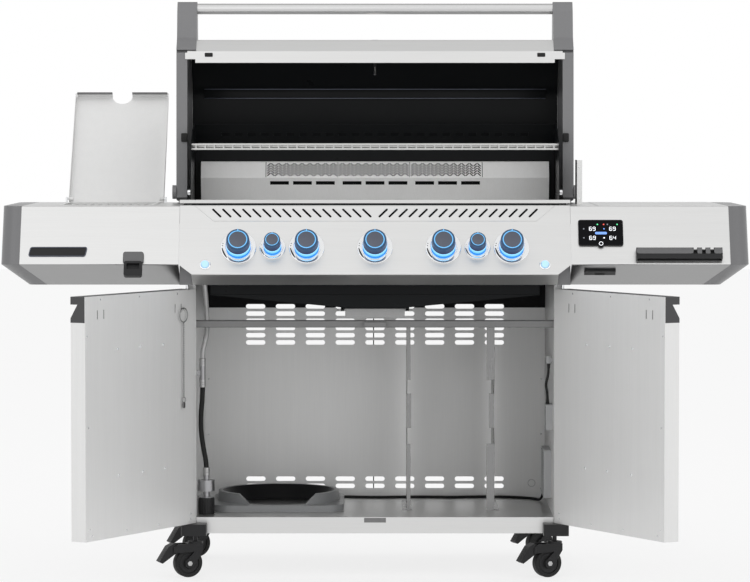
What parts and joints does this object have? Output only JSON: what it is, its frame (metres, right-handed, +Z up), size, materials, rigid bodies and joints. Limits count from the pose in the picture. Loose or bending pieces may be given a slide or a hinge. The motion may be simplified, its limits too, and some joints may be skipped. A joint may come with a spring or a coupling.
{
  "type": "gas barbecue grill",
  "caption": "Free-standing gas barbecue grill: opening hood over a firebox with grids, tilted control panel, side shelves with side burner, two-door cabinet, casters.",
  "frame": {"origin": "floor level, at the middle of the object's plan", "axes": "+X to the user's right, +Y to the back, +Z up"},
  "size_m": [1.968, 1.1652, 1.5385],
  "materials": {
    "stainless": "brushed along its length",
    "grill_steel": "drawn, satin",
    "polished": "polished",
    "dark_casting": "fine textured charcoal",
    "black_enamel": "satin black enamel",
    "galvanised": "dull zinc grain",
    "brass": "turned",
    "knob_grey": "satin with lit ring",
    "button_light": "lit pale blue",
    "fittings_black": "satin black",
    "display_glass": "black glass look",
    "grey_plastic": "moulded grain",
    "box_plastic": "moulded",
    "fork_black": "semi gloss black",
    "brake_plastic": "moulded",
    "wheel_rubber": "matte black",
    "hose_braid": "braided steel wire",
    "lead_rubber": "matte black"
  },
  "bodies": {
    "grill": {"caster_sockets": "dark_casting", "base_pan": "stainless", "cabinet_frame": "stainless", "back_panel": "stainless", "cabinet_dividers": "galvanised", "cylinder_ring": "grey_plastic", "firebox": "black_enamel", "burner_tubes": "grill_steel", "sear_plates": "grill_steel", "cooking_grids": "grill_steel", "rear_burner": "grill_steel", "warming_rack": "polished", "rear_hood": "black_enamel", "control_panel": "stainless", "knob_bezels": "polished", "gas_manifold": "brass", "side_shelves": "stainless", "shelf_end_caps": "dark_casting", "hinge_pins": "polished", "side_burner": "stainless", "drip_tray": "black_enamel", "shelf_fittings": "fittings_black", "display_module": "display_glass", "gas_hose": "hose_braid", "gas_regulator": "galvanised", "power_supply": "box_plastic", "power_cord": "lead_rubber"},
    "hood": {"lid_skin": "stainless", "lid_liner": "black_enamel", "lid_castings": "dark_casting", "lid_handle": "grill_steel", "lid_thermometer": "polished"},
    "door_left": {"left_door": "stainless", "left_door_grip": "dark_casting", "lighter_chain": "polished"},
    "door_right": {"right_door": "stainless", "right_door_grip": "dark_casting"},
    "burner_lid": {"side_burner_lid": "stainless"},
    "pan": {"grease_pan": "galvanised"},
    "knob_far_left_turning": {"knob_far_left": "knob_grey"},
    "knob_near_left_turning": {"knob_near_left": "knob_grey"},
    "knob_centre_turning": {"knob_centre": "knob_grey"},
    "knob_near_right_turning": {"knob_near_right": "knob_grey"},
    "knob_far_right_turning": {"knob_far_right": "knob_grey"},
    "knob_small_left_turning": {"knob_small_left": "knob_grey"},
    "knob_small_right_turning": {"knob_small_right": "knob_grey"},
    "button_left_moving": {"button_left": "button_light"},
    "button_right_moving": {"button_right": "button_light"},
    "caster_front_left": {"caster_fork_front_left": "fork_black"},
    "wheel_front_left": {"caster_wheel_front_left": "wheel_rubber"},
    "brake_front_left": {"caster_brake_front_left": "brake_plastic"},
    "caster_front_right": {"caster_fork_front_right": "fork_black"},
    "wheel_front_right": {"caster_wheel_front_right": "wheel_rubber"},
    "brake_front_right": {"caster_brake_front_right": "brake_plastic"},
    "caster_rear_left": {"caster_fork_rear_left": "fork_black"},
    "wheel_rear_left": {"caster_wheel_rear_left": "wheel_rubber"},
    "brake_rear_left": {"caster_brake_rear_left": "brake_plastic"},
    "caster_rear_right": {"caster_fork_rear_right": "fork_black"},
    "wheel_rear_right": {"caster_wheel_rear_right": "wheel_rubber"},
    "brake_rear_right": {"caster_brake_rear_right": "brake_plastic"}
  },
  "joints": [
    {"name": "hood_hinge", "type": "hinge", "parent": "grill", "child": "hood", "pos_m": [0, 0.218, 1.015], "axis": [1, 0, 0], "range_deg": [0, 93]},
    {"name": "left_door_hinge", "type": "hinge", "parent": "grill", "child": "door_left", "pos_m": [-0.498, -0.145, 0.4], "axis": [0, 0, 1], "range_deg": [-5, 120]},
    {"name": "right_door_hinge", "type": "hinge", "parent": "grill", "child": "door_right", "pos_m": [0.498, -0.145, 0.4], "axis": [0, 0, -1], "range_deg": [-5, 120]},
    {"name": "burner_lid_hinge", "type": "hinge", "parent": "grill", "child": "burner_lid", "pos_m": [-0.718, 0.325, 0.994], "axis": [1, 0, 0], "range_deg": [0, 130]},
    {"name": "grease_pan_slide", "type": "slide", "parent": "grill", "child": "pan", "axis": [0, 1, 0], "range_m": [-0.3, 0]},
    {"name": "knob_far_left_turn", "type": "hinge", "parent": "grill", "child": "knob_far_left_turning", "pos_m": [-0.359, -0.21047, 0.877], "axis": [0, -0.8994, 0.4371], "range_deg": [0, 180]},
    {"name": "knob_near_left_turn", "type": "hinge", "parent": "grill", "child": "knob_near_left_turning", "pos_m": [-0.1795, -0.21047, 0.877], "axis": [0, -0.8994, 0.4371], "range_deg": [0, 180]},
    {"name": "knob_centre_turn", "type": "hinge", "parent": "grill", "child": "knob_centre_turning", "pos_m": [0, -0.21047, 0.877], "axis": [0, -0.8994, 0.4371], "range_deg": [0, 180]},
    {"name": "knob_near_right_turn", "type": "hinge", "parent": "grill", "child": "knob_near_right_turning", "pos_m": [0.1795, -0.21047, 0.877], "axis": [0, -0.8994, 0.4371], "range_deg": [0, 180]},
    {"name": "knob_far_right_turn", "type": "hinge", "parent": "grill", "child": "knob_far_right_turning", "pos_m": [0.359, -0.21047, 0.877], "axis": [0, -0.8994, 0.4371], "range_deg": [0, 180]},
    {"name": "knob_small_left_turn", "type": "hinge", "parent": "grill", "child": "knob_small_left_turning", "pos_m": [-0.26925, -0.21047, 0.877], "axis": [0, -0.8994, 0.4371], "range_deg": [0, 180]},
    {"name": "knob_small_right_turn", "type": "hinge", "parent": "grill", "child": "knob_small_right_turning", "pos_m": [0.26925, -0.21047, 0.877], "axis": [0, -0.8994, 0.4371], "range_deg": [0, 180]},
    {"name": "button_left_press", "type": "slide", "parent": "grill", "child": "button_left_moving", "axis": [0, 0.8994, -0.4371], "range_m": [0, 0.003], "stiffness_N_per_m": 400},
    {"name": "button_right_press", "type": "slide", "parent": "grill", "child": "button_right_moving", "axis": [0, 0.8994, -0.4371], "range_m": [0, 0.003], "stiffness_N_per_m": 400},
    {"name": "front_left_swivel", "type": "hinge", "parent": "grill", "child": "caster_front_left", "pos_m": [-0.477, -0.143, 0.1], "axis": [0, 0, 1], "continuous": true},
    {"name": "front_left_roll", "type": "hinge", "parent": "caster_front_left", "child": "wheel_front_left", "pos_m": [-0.49754, -0.15089, 0.038], "axis": [-0.3584, 0.9336, 0], "continuous": true},
    {"name": "front_left_brake_tilt", "type": "hinge", "parent": "caster_front_left", "child": "brake_front_left", "pos_m": [-0.53115, -0.16379, 0.074], "axis": [0.3584, -0.9336, 0], "range_deg": [0, 18]},
    {"name": "front_right_swivel", "type": "hinge", "parent": "grill", "child": "caster_front_right", "pos_m": [0.477, -0.143, 0.1], "axis": [0, 0, 1], "continuous": true},
    {"name": "front_right_roll", "type": "hinge", "parent": "caster_front_right", "child": "wheel_front_right", "pos_m": [0.45646, -0.15089, 0.038], "axis": [-0.3584, 0.9336, 0], "continuous": true},
    {"name": "front_right_brake_tilt", "type": "hinge", "parent": "caster_front_right", "child": "brake_front_right", "pos_m": [0.42285, -0.16379, 0.074], "axis": [0.3584, -0.9336, 0], "range_deg": [0, 18]},
    {"name": "rear_left_swivel", "type": "hinge", "parent": "grill", "child": "caster_rear_left", "pos_m": [-0.477, 0.307, 0.1], "axis": [0, 0, 1], "continuous": true},
    {"name": "rear_left_roll", "type": "hinge", "parent": "caster_rear_left", "child": "wheel_rear_left", "pos_m": [-0.4971, 0.29805, 0.038], "axis": [-0.4067, 0.9135, 0], "continuous": true},
    {"name": "rear_left_brake_tilt", "type": "hinge", "parent": "caster_rear_left", "child": "brake_rear_left", "pos_m": [-0.52999, 0.28341, 0.074], "axis": [0.4067, -0.9135, 0], "range_deg": [0, 18]},
    {"name": "rear_right_swivel", "type": "hinge", "parent": "grill", "child": "caster_rear_right", "pos_m": [0.477, 0.307, 0.1], "axis": [0, 0, 1], "continuous": true},
    {"name": "rear_right_roll", "type": "hinge", "parent": "caster_rear_right", "child": "wheel_rear_right", "pos_m": [0.4569, 0.29805, 0.038], "axis": [-0.4067, 0.9135, 0], "continuous": true},
    {"name": "rear_right_brake_tilt", "type": "hinge", "parent": "caster_rear_right", "child": "brake_rear_right", "pos_m": [0.42401, 0.28341, 0.074], "axis": [0.4067, -0.9135, 0], "range_deg": [0, 18]}
  ]
}
